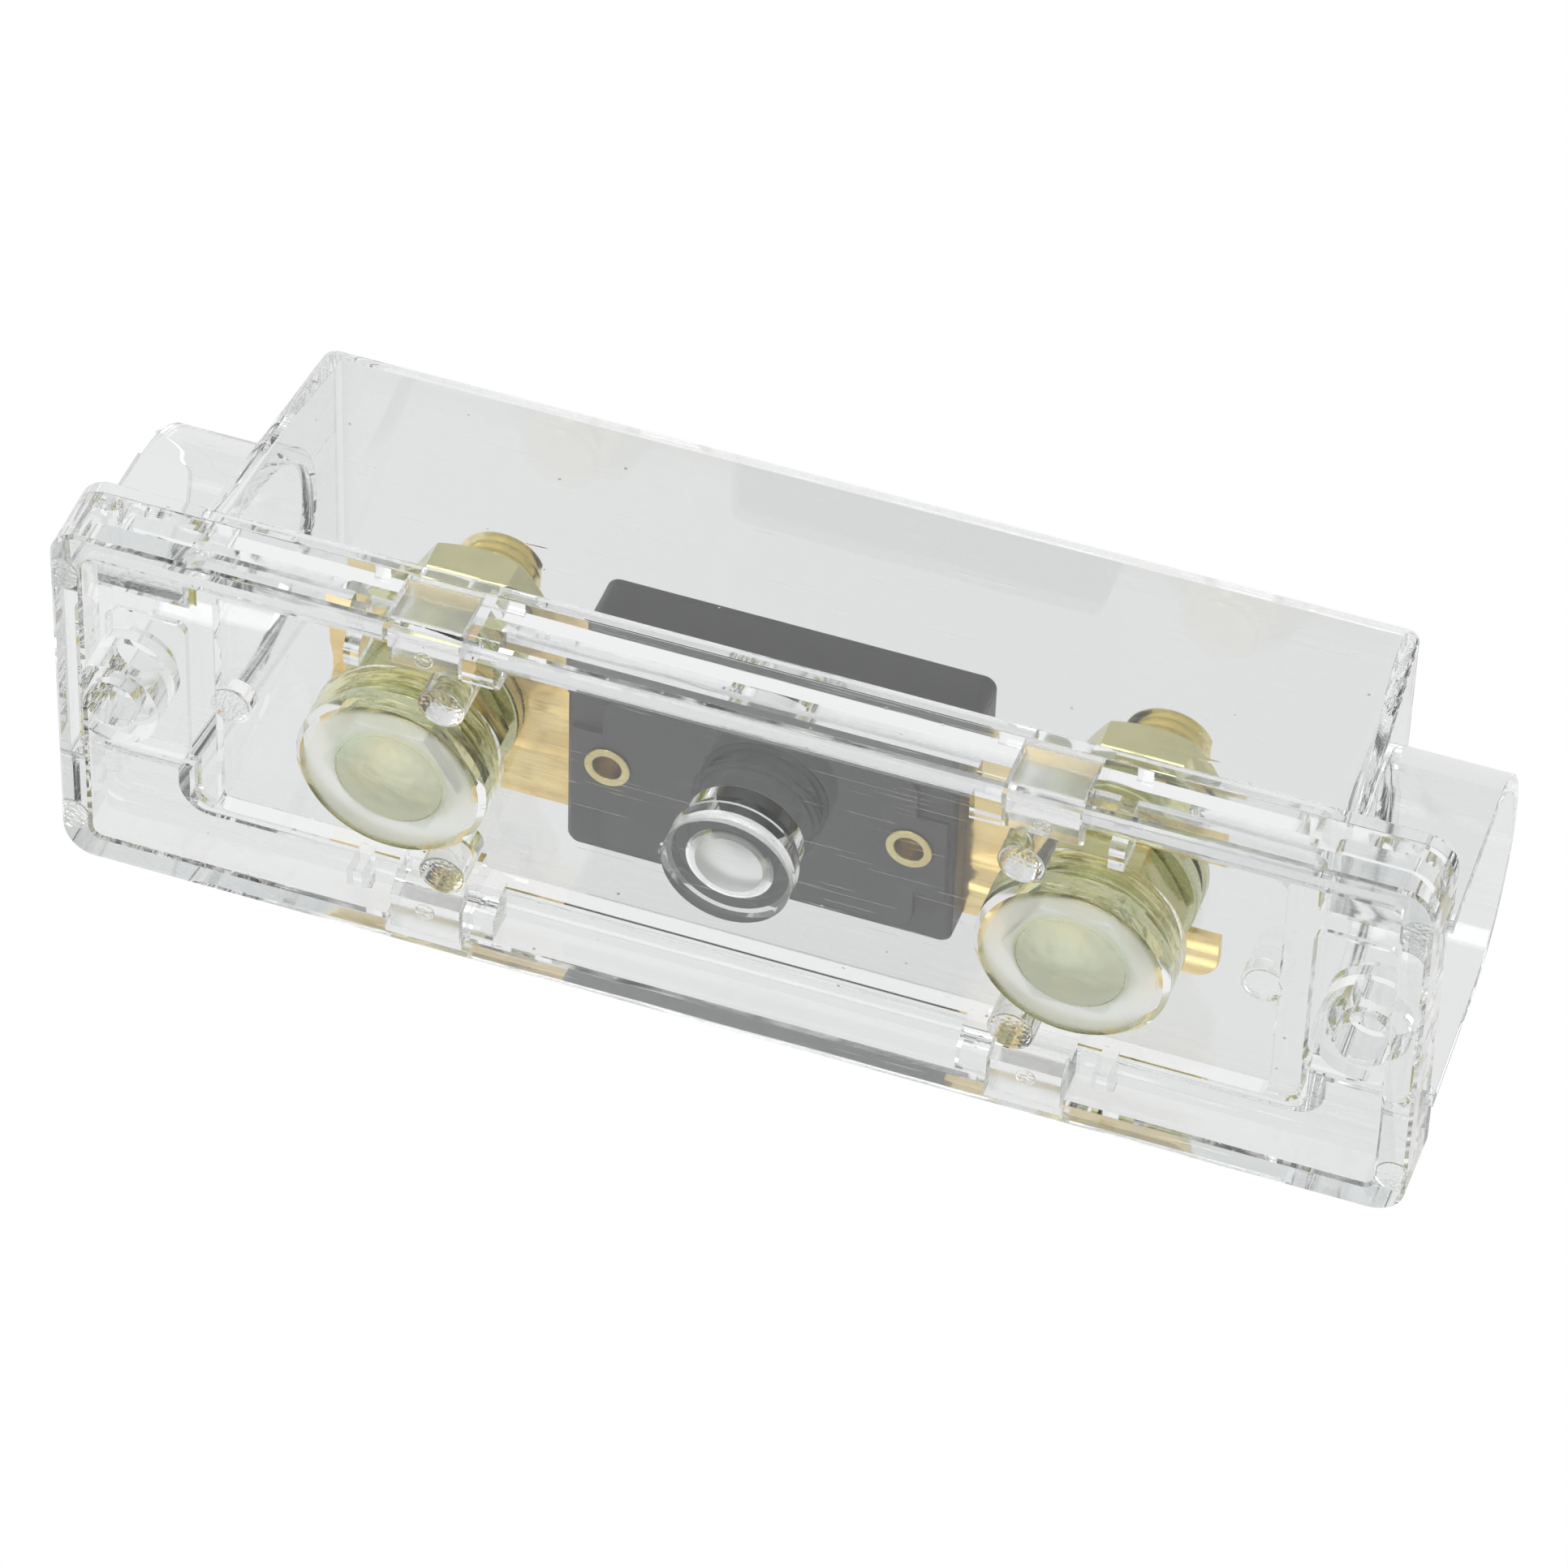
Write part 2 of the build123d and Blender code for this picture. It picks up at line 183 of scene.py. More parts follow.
def round_edges(piece: bpy.types.Object, edge: EdgeBreak) -> None:
    """Rounds a piece's sharp edges and evens its normals.

    Args:
        piece: the piece, in object mode.
        edge: how wide and fine the rounding is.
    """
    select_only(piece)
    bpy.ops.object.shade_smooth_by_angle(angle=math.radians(edge.smooth_angle))
    if edge.width_mm > 0:
        bevel = piece.modifiers.new("edge_break", "BEVEL")
        bevel.width = edge.width_mm * MM
        bevel.segments = edge.segments
        bevel.limit_method = "ANGLE"
        bevel.angle_limit = math.radians(edge.from_angle)
        bevel.miter_outer = "MITER_ARC"
        bevel.harden_normals = False
    even = piece.modifiers.new("even_normals", "WEIGHTED_NORMAL")
    even.weight = FLAT_FACE_WEIGHT
    even.keep_sharp = True
    finish_modifiers(piece)


def copy_of(node: str, edge: EdgeBreak, lift_mm: float = 0.0) -> bpy.types.Object:
    """Merged copy of a CAD node, rounded on its edges.

    Args:
        node: name of the CAD node.
        edge: rounding of the copy's edges.
        lift_mm: how far the copy is raised, so that faces don't coincide.

    Returns:
        The copy, at the origin, with its place in its mesh.
    """
    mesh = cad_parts[node].data.copy()
    mesh.materials.clear()
    piece = bpy.data.objects.new(f"{node}_shown", mesh)
    bpy.context.scene.collection.objects.link(piece)
    select_only(piece)
    bpy.ops.mesh.customdata_custom_splitnormals_clear()
    bpy.ops.object.mode_set(mode="EDIT")
    bpy.ops.mesh.select_all(action="SELECT")
    bpy.ops.mesh.remove_doubles(threshold=WELD_MM * MM)
    bpy.ops.mesh.dissolve_limited(angle_limit=math.radians(FLAT_DEGREES))
    if lift_mm:
        bpy.ops.transform.translate(value=(0, 0, lift_mm * MM))
    bpy.ops.object.mode_set(mode="OBJECT")
    round_edges(piece, edge)
    return piece


def settle(
    piece: bpy.types.Object,
    body: Body,
    material: bpy.types.Material,
    node: str,
) -> None:
    """Gives a piece its material and its body, and hides the CAD node that it replaces.

    Args:
        piece: the finished piece.
        body: CAD body that it rides on.
        material: its material.
        node: CAD node that it replaces.
    """
    piece.data.materials.clear()
    piece.data.materials.append(material)
    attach(piece, body.value)
    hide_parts(node)
    LOG.info("%s: %d faces", piece.name, len(piece.data.polygons))


# ---------------------------------------------------------------- finishes


@dataclass(frozen=True)
class Mark:
    """Frosted or milky place on a clear moulding, mirrored in X and in Y.

    Milk is the share of cloudy plastic, frost the roughness that it adds and
    rise the relief. Fade is the share of the half size over which the mark fades
    out, and for a ring it is the half width of the line.
    """

    centre_mm: tuple[float, float, float]
    half_mm: tuple[float, float, float]
    milk: float
    frost: float
    shape: MarkShape = MarkShape.ROUND
    fade: float = 0.12
    rise: float = 0.0


@dataclass(frozen=True)
class ClearPolycarbonate:
    """Injection-moulded clear polycarbonate: bright edges and faint flow ripples.

    Each pattern has its size, then the levels of its noise between which it
    fades in. Sizes of specks, dust and pebbles are those of their cells.
    """

    name: str
    tint: str
    marks: tuple[Mark, ...] = ()
    cloud_colour: str = "#E9ECE6"
    fleck_colour: str = "#B4B1A8"
    lamp_filter: str = "#F9FAFA"
    refraction: float = 1.585
    flow_mm: float = 18.0
    flow_depth_mm: float = 0.4
    haze_levels: tuple[float, float] = (0.3, 0.7)
    haze_roughness: float = 0.05
    cloud_roughness: float = 0.35
    cloud_clearness: float = 0.35
    speck_mm: float = 2.2
    speck_levels: tuple[float, float] = (0.07, 0.03)
    speck_depth_mm: float = 0.05
    pebble_mm: float = 0.45
    pebble_depth_mm: float = 0.12
    dust_mm: float = 4.0
    dust_levels: tuple[float, float] = (0.045, 0.03)
    dusty_cells: tuple[float, float] = (0.6, 0.62)
    dust_cover: float = 0.8
    scratch_mm: tuple[float, float, float] = (14.0, 0.16, 9.0)
    scratch_turn: float = 24.0
    scratch_levels: tuple[float, float] = (0.73, 0.77)
    scratch_depth_mm: float = 0.03

    def mark_masks(
        self, tree: bpy.types.NodeTree, point: bpy.types.NodeSocket
    ) -> tuple[bpy.types.NodeSocket | None, ...]:
        """Masks of the milk, the frost and the relief of all marks.

        Args:
            tree: node tree of the material.
            point: object coordinates in metres.

        Returns:
            The milk, frost and relief sockets, or None where there are no marks.
        """
        mirrored = add_node(
            tree, "ShaderNodeVectorMath", links={0: point}, operation="ABSOLUTE"
        ).outputs[0]
        milk = frost = rise = None
        for mark in self.marks:
            centre = tuple(v * MM for v in mark.centre_mm)
            offset = add_node(
                tree,
                "ShaderNodeVectorMath",
                values={1: centre},
                links={0: mirrored},
                operation="SUBTRACT",
            )
            scaled = add_node(
                tree,
                "ShaderNodeVectorMath",
                values={1: per_mm(mark.half_mm)},
                links={0: offset.outputs[0]},
                operation="MULTIPLY",
            )
            if mark.shape is not MarkShape.SQUARE:
                reach = add_node(
                    tree,
                    "ShaderNodeVectorMath",
                    links={0: scaled.outputs[0]},
                    operation="LENGTH",
                ).outputs["Value"]
            else:
                flat = add_node(
                    tree,
                    "ShaderNodeVectorMath",
                    links={0: scaled.outputs[0]},
                    operation="ABSOLUTE",
                )
                parts = add_node(
                    tree, "ShaderNodeSeparateXYZ", links={0: flat.outputs[0]}
                ).outputs
                wide = add_node(
                    tree,
                    "ShaderNodeMath",
                    links={0: parts[0], 1: parts[1]},
                    operation="MAXIMUM",
                ).outputs[0]
                reach = add_node(
                    tree,
                    "ShaderNodeMath",
                    links={0: wide, 1: parts[2]},
                    operation="MAXIMUM",
                ).outputs[0]
            if mark.shape is MarkShape.RING:
                inside = add_node(
                    tree,
                    "ShaderNodeMath",
                    values={1: 1.0, 2: mark.fade},
                    links={0: reach},
                    operation="COMPARE",
                ).outputs[0]
            else:
                inside = add_node(
                    tree,
                    "ShaderNodeMapRange",
                    values=span(1.0, 1.0 - mark.fade),
                    links={0: reach},
                    interpolation_type="SMOOTHSTEP",
                ).outputs[0]
            milk = self.laid_over(tree, milk, inside, mark.milk)
            frost = self.laid_over(tree, frost, inside, mark.frost)
            if mark.rise:
                rise = self.laid_over(tree, rise, inside, mark.rise)
        return milk, frost, rise

    def laid_over(
        self,
        tree: bpy.types.NodeTree,
        so_far: bpy.types.NodeSocket | None,
        inside: bpy.types.NodeSocket,
        amount: float,
    ) -> bpy.types.NodeSocket:
        """Lays a mark over those before it.

        Args:
            tree: node tree of the material.
            so_far: mask of the marks before this one.
            inside: one within this mark, zero outside.
            amount: strength of this mark.

        Returns:
            The joined mask.
        """
        under = {2: so_far} if so_far is not None else {}
        return add_node(
            tree,
            "ShaderNodeMix",
            values={2: 0.0, 3: amount},
            links={0: inside, **under},
            data_type="FLOAT",
        ).outputs[0]

    def dust(
        self, tree: bpy.types.NodeTree, point: bpy.types.NodeSocket
    ) -> bpy.types.NodeSocket:
        """Mask of the few grey flecks that lie on the plastic.

        Args:
            tree: node tree of the material.
            point: object coordinates in metres.

        Returns:
            One on a fleck, zero elsewhere.
        """
        cells = add_node(
            tree,
            "ShaderNodeTexVoronoi",
            values={"Scale": 1 / (self.dust_mm * MM)},
            links={"Vector": point},
        )
        near = add_node(
            tree,
            "ShaderNodeMapRange",
            values=span(*self.dust_levels),
            links={0: cells.outputs["Distance"]},
        )
        chosen = add_node(
            tree,
            "ShaderNodeMapRange",
            values=span(*self.dusty_cells, high=self.dust_cover),
            links={0: cells.outputs["Color"]},
        )
        return add_node(
            tree,
            "ShaderNodeMath",
            links={0: near.outputs[0], 1: chosen.outputs[0]},
            operation="MULTIPLY",
        ).outputs[0]

    def scratches(
        self, tree: bpy.types.NodeTree, point: bpy.types.NodeSocket
    ) -> bpy.types.NodeSocket:
        """Height of the short hair scratches along the moulding.

        Args:
            tree: node tree of the material.
            point: object coordinates in metres.

        Returns:
            One on a scratch, zero elsewhere.
        """
        drawn = add_node(
            tree,
            "ShaderNodeMapping",
            values={
                "Rotation": (0.0, 0.0, math.radians(self.scratch_turn)),
                "Scale": per_mm(self.scratch_mm),
            },
            links={"Vector": point},
        )
        streaks = add_node(
            tree,
            "ShaderNodeTexNoise",
            values={"Scale": 1.0, "Detail": 1.0},
            links={"Vector": drawn.outputs[0]},
        )
        return add_node(
            tree,
            "ShaderNodeMapRange",
            values=span(*self.scratch_levels),
            links={0: streaks.outputs[0]},
        ).outputs[0]

    def embossed(
        self,
        tree: bpy.types.NodeTree,
        point: bpy.types.NodeSocket,
        rise: bpy.types.NodeSocket,
        under: bpy.types.Node,
    ) -> bpy.types.Node:
        """Raises the marks a little and roughens them like a spark-eroded pin.

        Args:
            tree: node tree of the material.
            point: object coordinates in metres.
            rise: mask of the raised marks.
            under: bump that lies under this one.

        Returns:
            The bump with the marks in it.
        """
        pebble = add_node(
            tree,
            "ShaderNodeTexVoronoi",
            values={"Scale": 1 / (self.pebble_mm * MM)},
            links={"Vector": point},
        )
        height = add_node(
            tree,
            "ShaderNodeMath",
            links={0: pebble.outputs["Distance"], 1: rise, 2: rise},
            operation="MULTIPLY_ADD",
        )
        return add_node(
            tree,
            "ShaderNodeBump",
            values={"Strength": 0.9, "Distance": self.pebble_depth_mm * MM},
            links={"Height": height.outputs[0], "Normal": under.outputs[0]},
        )

    def build(self) -> bpy.types.Material:
        """Builds the material.

        Returns:
            A glass-like plastic that lets lamps through to what it covers.
        """
        material, tree = start_material(self.name)
        point = add_node(tree, "ShaderNodeTexCoord").outputs["Object"]
        flow = add_node(
            tree,
            "ShaderNodeTexNoise",
            values={"Scale": 1 / (self.flow_mm * MM), "Detail": 2.0, "Roughness": 0.4},
            links={"Vector": point},
        )
        specks = add_node(
            tree,
            "ShaderNodeTexVoronoi",
            values={"Scale": 1 / (self.speck_mm * MM)},
            links={"Vector": point},
        )
        speck = add_node(
            tree,
            "ShaderNodeMapRange",
            values=span(*self.speck_levels),
            links={0: specks.outputs["Distance"]},
        ).outputs[0]
        ripple = add_node(
            tree,
            "ShaderNodeBump",
            values={"Strength": 0.25, "Distance": self.flow_depth_mm * MM},
            links={"Height": flow.outputs[0]},
        )
        dotted = add_node(
            tree,
            "ShaderNodeBump",
            values={"Strength": 0.12, "Distance": self.speck_depth_mm * MM},
            links={"Height": speck, "Normal": ripple.outputs[0]},
        )
        relief = add_node(
            tree,
            "ShaderNodeBump",
            values={"Strength": 0.35, "Distance": self.scratch_depth_mm * MM},
            links={"Height": self.scratches(tree, point), "Normal": dotted.outputs[0]},
        )
        haze = add_node(
            tree,
            "ShaderNodeMapRange",
            values=span(*self.haze_levels, high=self.haze_roughness),
            links={0: flow.outputs[0]},
        ).outputs[0]
        milk, frost, rise = self.mark_masks(tree, point)
        if rise is not None:
            relief = self.embossed(tree, point, rise, relief)
        if frost is not None:
            haze = add_node(
                tree, "ShaderNodeMath", links={0: haze, 1: frost}, operation="ADD"
            ).outputs[0]
        clear = add_node(
            tree,
            "ShaderNodeBsdfPrincipled",
            values={
                "Base Color": linear(self.tint),
                "IOR": self.refraction,
                "Transmission Weight": 1.0,
            },
            links={"Roughness": haze, "Normal": relief.outputs[0]},
        ).outputs[0]
        if milk is not None:
            cloud = add_node(
                tree,
                "ShaderNodeBsdfPrincipled",
                values={
                    "Base Color": linear(self.cloud_colour),
                    "Roughness": self.cloud_roughness,
                    "Transmission Weight": self.cloud_clearness,
                    "IOR": self.refraction,
                },
            ).outputs[0]
            clear = add_node(
                tree, "ShaderNodeMixShader", links={0: milk, 1: clear, 2: cloud}
            ).outputs[0]
        fleck = add_node(
            tree,
            "ShaderNodeBsdfPrincipled",
            values={"Base Color": linear(self.fleck_colour), "Roughness": 0.8},
        )
        clear = add_node(
            tree,
            "ShaderNodeMixShader",
            links={0: self.dust(tree, point), 1: clear, 2: fleck.outputs[0]},
        ).outputs[0]
        ray = add_node(tree, "ShaderNodeLightPath")
        through = add_node(
            tree,
            "ShaderNodeBsdfTransparent",
            values={"Color": linear(self.lamp_filter)},
        )
        surface = add_node(
            tree,
            "ShaderNodeMixShader",
            links={0: ray.outputs["Is Shadow Ray"], 1: clear, 2: through.outputs[0]},
        )
        add_node(
            tree, "ShaderNodeOutputMaterial", links={"Surface": surface.outputs[0]}
        )
        return material


@dataclass(frozen=True)
class PlatedMetal:
    """Steel or copper with a bright passivated plating over a fine drawn grain.

    The second tint lies in blotches. Above a set level it also fades in as a painted
    highlight: over the same plating, a stud's upper part is painted paler and more
    golden for its brighter look.
    """

    name: str
    colour: str
    blotch_and_highlight_tint: str
    grain_mm: tuple[float, float, float]
    roughness: float
    grain_strength: float = 0.2
    wave_mm: tuple[float, float, float] = (3.0, 3.0, 3.0)
    wave_depth_mm: float = 0.02
    painted_highlight_from_mm: float = 1000.0
    painted_highlight_rise_mm: float = 5.0
    blotch_mm: float = 4.5
    blotch_levels: tuple[float, float] = (0.35, 0.68)
    blotch_cover: float = 0.6
    gloss_levels: tuple[float, float] = (0.25, 0.75)
    gloss_spread: tuple[float, float] = (-0.08, 0.1)
    least_roughness: float = 0.05
    grain_depth_mm: float = 0.03

    def build(self) -> bpy.types.Material:
        """Builds the material.

        Returns:
            A metal whose tint and gloss vary a little from place to place.
        """
        material, tree = start_material(self.name)
        point = add_node(tree, "ShaderNodeTexCoord").outputs["Object"]
        stretched = add_node(
            tree,
            "ShaderNodeMapping",
            values={"Scale": per_mm(self.grain_mm)},
            links={"Vector": point},
        )
        grain = add_node(
            tree,
            "ShaderNodeTexNoise",
            values={"Scale": 1.0, "Detail": 3.0, "Roughness": 0.55},
            links={"Vector": stretched.outputs[0]},
        )
        cloud = add_node(
            tree,
            "ShaderNodeTexNoise",
            values={"Scale": 1 / (self.blotch_mm * MM), "Detail": 2.0},
            links={"Vector": point},
        )
        blotch = add_node(
            tree,
            "ShaderNodeMapRange",
            values=span(*self.blotch_levels, high=self.blotch_cover),
            links={0: cloud.outputs[0]},
        )
        # Painted highlight: above a set height the second tint fades in, so a stud's
        # upper part is painted paler and more golden than its head.
        height = add_node(tree, "ShaderNodeSeparateXYZ", links={0: point})
        highlight_ramp = add_node(
            tree,
            "ShaderNodeMapRange",
            values=span(
                self.painted_highlight_from_mm * MM, (self.painted_highlight_from_mm + self.painted_highlight_rise_mm) * MM
            ),
            links={0: height.outputs["Z"]},
        )
        blotch_and_highlight = add_node(
            tree,
            "ShaderNodeMath",
            links={0: blotch.outputs[0], 1: highlight_ramp.outputs[0]},
            operation="MAXIMUM",
        )
        tint = add_node(
            tree,
            "ShaderNodeMix",
            values={6: linear(self.colour), 7: linear(self.blotch_and_highlight_tint)},
            links={0: blotch_and_highlight.outputs[0]},
            data_type="RGBA",
        )
        smooth, rough = (self.roughness + v for v in self.gloss_spread)
        gloss = add_node(
            tree,
            "ShaderNodeMapRange",
            values=span(*self.gloss_levels, max(self.least_roughness, smooth), rough),
            links={0: grain.outputs[0]},
        )
        relief = add_node(
            tree,
            "ShaderNodeBump",
            values={
                "Strength": self.grain_strength,
                "Distance": self.grain_depth_mm * MM,
            },
            links={"Height": grain.outputs[0]},
        )
        spread = add_node(
            tree,
            "ShaderNodeMapping",
            values={"Scale": per_mm(self.wave_mm)},
            links={"Vector": point},
        )
        dents = add_node(
            tree,
            "ShaderNodeTexNoise",
            values={"Scale": 1.0, "Detail": 1.0, "Roughness": 0.3},
            links={"Vector": spread.outputs[0]},
        )
        wavy = add_node(
            tree,
            "ShaderNodeBump",
            values={"Strength": 1.0, "Distance": self.wave_depth_mm * MM},
            links={"Height": dents.outputs[0], "Normal": relief.outputs[0]},
        )
        metal = add_node(
            tree,
            "ShaderNodeBsdfPrincipled",
            values={"Metallic": 1.0},
            links={
                "Base Color": tint.outputs[2],
                "Roughness": gloss.outputs[0],
                "Normal": wavy.outputs[0],
            },
        )
        add_node(tree, "ShaderNodeOutputMaterial", links={"Surface": metal.outputs[0]})
        return material


@dataclass(frozen=True)
class MouldedPhenolic:
    """Dark filled phenolic, moulded: nearly black, with a soft grey sheen.

    Up to a set level above its underside it is painted paler: painted light that makes
    the underside face brighter than the sides.
    The paler tone fades out over a set height above that level.
    """

    name: str
    colour: str
    scuff: str
    painted_face_light: str
    painted_light_top_mm: float
    painted_light_fade_mm: float = 0.7
    refraction: float = 1.47
    roughness: float = 0.42
    grit_mm: float = 0.25
    grit_depth_mm: float = 0.05
    wear_mm: float = 3.0
    scuff_levels: tuple[float, float] = (0.62, 0.78)
    scuff_cover: float = 0.6
    gloss_levels: tuple[float, float] = (0.3, 0.7)
    gloss_spread: tuple[float, float] = (-0.06, 0.08)

    def build(self) -> bpy.types.Material:
        """Builds the material.

        Returns:
            A dark plastic with fine grit and pale scuffs.
        """
        material, tree = start_material(self.name)
        point = add_node(tree, "ShaderNodeTexCoord").outputs["Object"]
        grit = add_node(
            tree,
            "ShaderNodeTexNoise",
            values={"Scale": 1 / (self.grit_mm * MM), "Detail": 3.0},
            links={"Vector": point},
        )
        wear = add_node(
            tree,
            "ShaderNodeTexNoise",
            values={"Scale": 1 / (self.wear_mm * MM), "Detail": 6.0, "Roughness": 0.7},
            links={"Vector": point},
        )
        scuffed = add_node(
            tree,
            "ShaderNodeMapRange",
            values=span(*self.scuff_levels, high=self.scuff_cover),
            links={0: wear.outputs[0]},
        )
        tint = add_node(
            tree,
            "ShaderNodeMix",
            values={6: linear(self.colour), 7: linear(self.scuff)},
            links={0: scuffed.outputs[0]},
            data_type="RGBA",
        )
        # Painted light: up to a set level above the underside, the colour is blended
        # towards a paler grey, so the underside face reads brighter than the sides.
        height = add_node(tree, "ShaderNodeSeparateXYZ", links={0: point})
        facing = add_node(
            tree,
            "ShaderNodeMapRange",
            values=span((self.painted_light_top_mm + self.painted_light_fade_mm) * MM, self.painted_light_top_mm * MM),
            links={0: height.outputs["Z"]},
            interpolation_type="SMOOTHSTEP",
        )
        tint = add_node(
            tree,
            "ShaderNodeMix",
            values={7: linear(self.painted_face_light)},
            links={0: facing.outputs[0], 6: tint.outputs[2]},
            data_type="RGBA",
        )
        smooth, rough = (self.roughness + v for v in self.gloss_spread)
        gloss = add_node(
            tree,
            "ShaderNodeMapRange",
            values=span(*self.gloss_levels, smooth, rough),
            links={0: wear.outputs[0]},
        )
        relief = add_node(
            tree,
            "ShaderNodeBump",
            values={"Strength": 0.15, "Distance": self.grit_depth_mm * MM},
            links={"Height": grit.outputs[0]},
        )
        plastic = add_node(
            tree,
            "ShaderNodeBsdfPrincipled",
            values={"IOR": self.refraction},
            links={
                "Base Color": tint.outputs[2],
                "Roughness": gloss.outputs[0],
                "Normal": relief.outputs[0],
            },
        )
        add_node(
            tree, "ShaderNodeOutputMaterial", links={"Surface": plastic.outputs[0]}
        )
        return material


# ---------------------------------------------------------------- sub-assemblies


@dataclass
class ClearMouldings:
    """The clear base and the clear lift-off cover."""

    edge_mm: float = 0.22
    seam_gap_mm: float = 0.03
    tint: str = "#F6F7F7"

    def base_marks(self) -> tuple[Mark, ...]:
        """Milky faces over the stud heads and frosted places beside the clips."""
        return (
            Mark((30.5, 0.0, 0.4), (8.1, 8.1, 0.9), 0.72, 0.45),
            Mark((30.5, 0.0, 0.4), (6.1, 6.1, 0.9), 0.36, 0.4, MarkShape.ROUND, 0.16),
            Mark((30.5, 0.0, 0.2), (4.85, 4.85, 3.0), 0.0, 0.0, MarkShape.RING, 0.012),
            Mark((0.0, 0.0, 2.2), (4.1, 4.1, 0.5), 0.35, 0.25, MarkShape.ROUND, 0.2),
            Mark((25.7, 10.1, 0.5), (2.05, 2.05, 0.5), 0.02, 0.22, rise=1.0),
            Mark((26.5, 17.0, 2.1), (3.5, 0.9, 2.1), 0.12, 0.3, MarkShape.SQUARE),
            Mark((46.5, 0.0, 3.8), (1.9, 1.9, 0.4), 0.08, 0.2, rise=1.0),
            Mark((60.0, 14.5, 0.0), (1.75, 1.75, 0.4), 0.1, 0.2, rise=1.0),
        )

    def cover_marks(self) -> tuple[Mark, ...]:
        """Milky pads on the feet of the snap tongues."""
        return (
            Mark((27.3, 15.2, 0.4), (3.1, 2.4, 0.6), 0.08, 0.16, MarkShape.SQUARE),
            Mark((27.3, 15.2, 0.4), (0.9, 0.9, 0.6), 0.05, 0.1, rise=1.0),
            Mark((27.3, 18.0, 3.6), (3.3, 0.4, 3.8), 0.14, 0.2, MarkShape.SQUARE),
        )

    def build(self) -> None:
        """Builds both mouldings and lets the cover ride on its own body."""
        for node, body, lift, marks in (
            ("base", Body.BASE, 0.0, self.base_marks()),
            ("cover", Body.COVER, self.seam_gap_mm, self.cover_marks()),
        ):
            piece = copy_of(node, EdgeBreak(self.edge_mm), lift)
            clear = ClearPolycarbonate(f"clear_polycarbonate_{node}", self.tint, marks)
            settle(piece, body, clear.build(), node)


@dataclass
class StudStack:
    """One stud with its nuts and washers.

    The pitch is drawn a little finer than the real 1.25 mm, so that as many
    ridges show above the nut as on the real stud. The held thread is the stretch
    between head and floor, wider than the plain shank, which stays inside it.
    """

    side: str
    pitch_mm: float = 1.0
    crest_mm: float = 3.98
    root_mm: float = 3.25
    sunk_mm: float = 0.1
    top_mm: float = 27.9
    plain_end_mm: float = 0.45
    chamfer_mm: float = 0.3
    nut_top_mm: float = 22.6
    overlap_mm: float = 0.4
    head_under_mm: float = 1.0
    head_top_mm: float = 3.6
    head_half_mm: float = 5.3
    head_swell_mm: float = 0.07
    head_slack_mm: float = 0.1
    floor_top_mm: float = 7.6
    held_root_mm: float = 4.08
    held_crest_mm: float = 4.5
    core_sides: int = 48
    turn_steps: int = 40
    ridge_weld_mm: float = 0.001
    level_slack_mm: float = 0.01
    smooth_angle: float = 30.0
    nut_gap_mm: float = 0.02
    lower_nut_edge: EdgeBreak = EdgeBreak(0.2, 2, from_angle=20.0, smooth_angle=20.0)
    top_nut_edge: EdgeBreak = EdgeBreak(0.22, 3, from_angle=15.0, smooth_angle=18.0)
    washer_edge: EdgeBreak = EdgeBreak(0.25, 3)
    spring_edge: EdgeBreak = EdgeBreak(0.2)

    def centre(self) -> Vector:
        """Axis of the stud on the ground plane."""
        low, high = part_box(f"stud_{self.side}")
        return Vector(((low.x + high.x) / 2, (low.y + high.y) / 2, 0))

    def thread(
        self, bottom: float, top: float, root: float, crest: float
    ) -> bpy.types.Object:
        """Threaded length of the stud: a core with a rolled helical ridge.

        Args:
            bottom: level where it starts, in millimetres.
            top: level where it ends.
            root: radius of the core.
            crest: radius of the ridge.

        Returns:
            One mesh, closed, in place.
        """
        axis = self.centre()
        height = top - bottom
        bpy.ops.object.select_all(action="DESELECT")
        bpy.ops.mesh.primitive_cylinder_add(
            vertices=self.core_sides,
            radius=root * MM,
            depth=height * MM,
            location=(axis.x, axis.y, (bottom + height / 2) * MM),
        )
        core = bpy.context.active_object
        self.bevel_top(core)
        bpy.ops.object.select_all(action="DESELECT")
        bpy.ops.mesh.primitive_circle_add(
            vertices=3, fill_type="NOTHING", location=(0, 0, 0)
        )
        ridge = bpy.context.active_object
        self.point_outwards(ridge, root, crest)
        screw = ridge.modifiers.new("helix", "SCREW")
        screw.angle = math.tau
        screw.screw_offset = self.pitch_mm * MM
        screw.iterations = math.ceil(height / self.pitch_mm) + 1
        screw.steps = screw.render_steps = self.turn_steps
        screw.use_merge_vertices = False
        finish_modifiers(ridge)
        bpy.ops.object.mode_set(mode="EDIT")
        bpy.ops.mesh.select_all(action="SELECT")
        bpy.ops.transform.translate(
            value=(axis.x, axis.y, (bottom - self.pitch_mm) * MM)
        )
        bpy.ops.mesh.remove_doubles(threshold=self.ridge_weld_mm * MM)
        bpy.ops.mesh.normals_make_consistent(inside=False)
        for level, upper in ((bottom, False), (top - self.plain_end_mm, True)):
            bpy.ops.mesh.select_all(action="SELECT")
            bpy.ops.mesh.bisect(
                plane_co=(axis.x, axis.y, level * MM),
                plane_no=(0, 0, 1),
                use_fill=True,
                clear_inner=not upper,
                clear_outer=upper,
            )
        bpy.ops.object.mode_set(mode="OBJECT")
        select_only(ridge)
        core.select_set(True)
        bpy.ops.object.join()
        return ridge

    def point_outwards(
        self, ridge: bpy.types.Object, root: float, crest: float
    ) -> None:
        """Places the ridge's triangle so that one corner is the crest.

        Args:
            ridge: triangle that the helix is swept from.
            root: radius of the core, in millimetres.
            crest: radius of the ridge.
        """
        foot = root - self.sunk_mm
        places = [(crest, 0.0), (foot, 0.5), (foot, -0.5)]
        for corner, (out, up) in zip(ridge.data.vertices, places):
            corner.co = (out * MM, 0.0, up * self.pitch_mm * MM)

